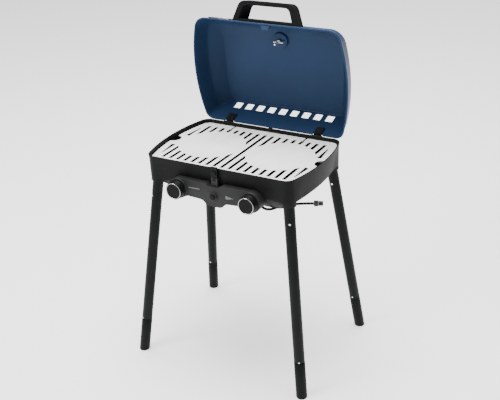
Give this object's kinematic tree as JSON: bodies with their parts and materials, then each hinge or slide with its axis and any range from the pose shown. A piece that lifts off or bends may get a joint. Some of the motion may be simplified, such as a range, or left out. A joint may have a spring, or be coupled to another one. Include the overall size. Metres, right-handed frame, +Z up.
{
  "type": "portable gas grill",
  "caption": "Free-standing gas grill on splayed plug-in legs: hinged vented lid, flat slotted cooking plates, knob panel, latch and grease tray.",
  "frame": {"origin": "on the floor, under the middle of the whole grill's box", "axes": "+X to the grill's right as its user faces the panel, +Y towards the hinge, +Z up; the panel faces -Y"},
  "size_m": [0.5972, 0.5019, 1.0563],
  "materials": {
    "cast_dark": "satin cast, fine texture",
    "panel_plastic": "satin moulded",
    "steel_dark": "satin powder coat",
    "black_fitting": "satin black",
    "black_plastic": "fine grain",
    "steel": "brushed",
    "brass": "machined",
    "ceramic": "glazed ceramic, stood in by gloss plastic",
    "cooking_plate": "pale, fine brushing front to back",
    "chrome": "bright",
    "lid_blue": "satin blue",
    "clear_glass": "clear"
  },
  "bodies": {
    "firebox": {"firebox": "cast_dark", "control_panel": "panel_plastic", "gas_rail": "steel_dark", "inlet_pipe": "steel_dark", "inlet_nut": "black_fitting", "inlet_connector": "black_fitting", "igniter_body": "black_plastic", "latch_base": "panel_plastic", "latch_pin": "steel", "burner_left": "steel", "valve_left": "brass", "electrode_left": "ceramic", "hinge_bracket_left": "black_fitting", "hinge_pin_left": "steel", "tray_rail_left": "steel_dark", "burner_right": "steel", "valve_right": "brass", "electrode_right": "ceramic", "hinge_bracket_right": "black_fitting", "hinge_pin_right": "steel", "tray_rail_right": "steel_dark", "leg_sleeve_front_left": "steel_dark", "leg_sleeve_front_right": "steel_dark", "leg_sleeve_back_left": "steel_dark", "leg_sleeve_back_right": "steel_dark"},
    "grate_left": {"grate_left": "cooking_plate"},
    "spindle_left": {"valve_stem_left": "steel"},
    "knob_left": {"knob_left": "black_plastic", "knob_ring_left": "chrome"},
    "lid": {"hinge_leaf_left": "black_fitting", "handle_screw_left": "steel", "hinge_leaf_right": "black_fitting", "handle_screw_right": "steel", "lid": "lid_blue", "lid_handle": "black_plastic", "lid_badge": "chrome", "lid_catch": "lid_blue", "thermometer_case": "steel", "thermometer_glass": "clear_glass", "thermometer_nut": "steel"},
    "grate_right": {"grate_right": "cooking_plate"},
    "spindle_right": {"valve_stem_right": "steel"},
    "knob_right": {"knob_right": "black_plastic", "knob_ring_right": "chrome"},
    "igniter_button": {"igniter_button": "black_plastic"},
    "latch_clip": {"latch_clip": "black_plastic"},
    "grease_tray": {"grease_tray": "steel"},
    "leg_front_left": {"leg_front_left": "steel_dark", "leg_foot_front_left": "black_plastic"},
    "leg_button_front_left": {"leg_button_front_left": "steel"},
    "leg_front_right": {"leg_front_right": "steel_dark", "leg_foot_front_right": "black_plastic"},
    "leg_button_front_right": {"leg_button_front_right": "steel"},
    "leg_back_left": {"leg_back_left": "steel_dark", "leg_foot_back_left": "black_plastic"},
    "leg_button_back_left": {"leg_button_back_left": "steel"},
    "leg_back_right": {"leg_back_right": "steel_dark", "leg_foot_back_right": "black_plastic"},
    "leg_button_back_right": {"leg_button_back_right": "steel"}
  },
  "joints": [
    {"name": "lid_hinge", "type": "hinge", "parent": "firebox", "child": "lid", "pos_m": [0, 0.1492, 0.66], "axis": [1, 0, 0], "range_deg": [0, 84.8]},
    {"name": "grate_left_lift", "type": "slide", "parent": "firebox", "child": "grate_left", "axis": [0, 0, 1], "range_m": [0, 0.012]},
    {"name": "tap_left_turn", "type": "hinge", "parent": "firebox", "child": "spindle_left", "pos_m": [-0.1195, -0.2014, 0.586], "axis": [0, -1, 0], "range_deg": [0, 150]},
    {"name": "knob_left_push", "type": "slide", "parent": "spindle_left", "child": "knob_left", "axis": [0, 1, 0], "range_m": [0, 0.0032], "stiffness_N_per_m": 400, "springref_m": -0.004},
    {"name": "grate_right_lift", "type": "slide", "parent": "firebox", "child": "grate_right", "axis": [0, 0, 1], "range_m": [0, 0.012]},
    {"name": "tap_right_turn", "type": "hinge", "parent": "firebox", "child": "spindle_right", "pos_m": [0.1195, -0.2014, 0.586], "axis": [0, -1, 0], "range_deg": [0, 150]},
    {"name": "knob_right_push", "type": "slide", "parent": "spindle_right", "child": "knob_right", "axis": [0, 1, 0], "range_m": [0, 0.0032], "stiffness_N_per_m": 400, "springref_m": -0.004},
    {"name": "igniter_push", "type": "slide", "parent": "firebox", "child": "igniter_button", "axis": [0, 1, 0], "range_m": [0, 0.0038], "stiffness_N_per_m": 500, "springref_m": -0.004},
    {"name": "latch_swing", "type": "hinge", "parent": "firebox", "child": "latch_clip", "pos_m": [0, -0.1919, 0.631], "axis": [1, 0, 0], "range_deg": [0, 35], "stiffness_Nm_per_rad": 0.05, "springref_deg": -34.38},
    {"name": "tray_pull", "type": "slide", "parent": "firebox", "child": "grease_tray", "axis": [0, 1, 0], "range_m": [0, 0.14]},
    {"name": "leg_front_left_pull", "type": "slide", "parent": "firebox", "child": "leg_front_left", "axis": [-0.1086, -0.1235, -0.9864], "range_m": [0, 0.058]},
    {"name": "leg_front_left_button_press", "type": "slide", "parent": "leg_front_left", "child": "leg_button_front_left", "axis": [0.4061, 0.9138, 0], "range_m": [0, 0.002], "stiffness_N_per_m": 800, "springref_m": -0.002},
    {"name": "leg_front_right_pull", "type": "slide", "parent": "firebox", "child": "leg_front_right", "axis": [0.1086, -0.1235, -0.9864], "range_m": [0, 0.058]},
    {"name": "leg_front_right_button_press", "type": "slide", "parent": "leg_front_right", "child": "leg_button_front_right", "axis": [-0.4061, 0.9138, 0], "range_m": [0, 0.002], "stiffness_N_per_m": 800, "springref_m": -0.002},
    {"name": "leg_back_left_pull", "type": "slide", "parent": "firebox", "child": "leg_back_left", "axis": [-0.1086, 0.1235, -0.9864], "range_m": [0, 0.058]},
    {"name": "leg_back_left_button_press", "type": "slide", "parent": "leg_back_left", "child": "leg_button_back_left", "axis": [0, 1, 0], "range_m": [0, 0.002], "stiffness_N_per_m": 800, "springref_m": -0.002},
    {"name": "leg_back_right_pull", "type": "slide", "parent": "firebox", "child": "leg_back_right", "axis": [0.1086, 0.1235, -0.9864], "range_m": [0, 0.058]},
    {"name": "leg_back_right_button_press", "type": "slide", "parent": "leg_back_right", "child": "leg_button_back_right", "axis": [0, 1, 0], "range_m": [0, 0.002], "stiffness_N_per_m": 800, "springref_m": -0.002}
  ]
}
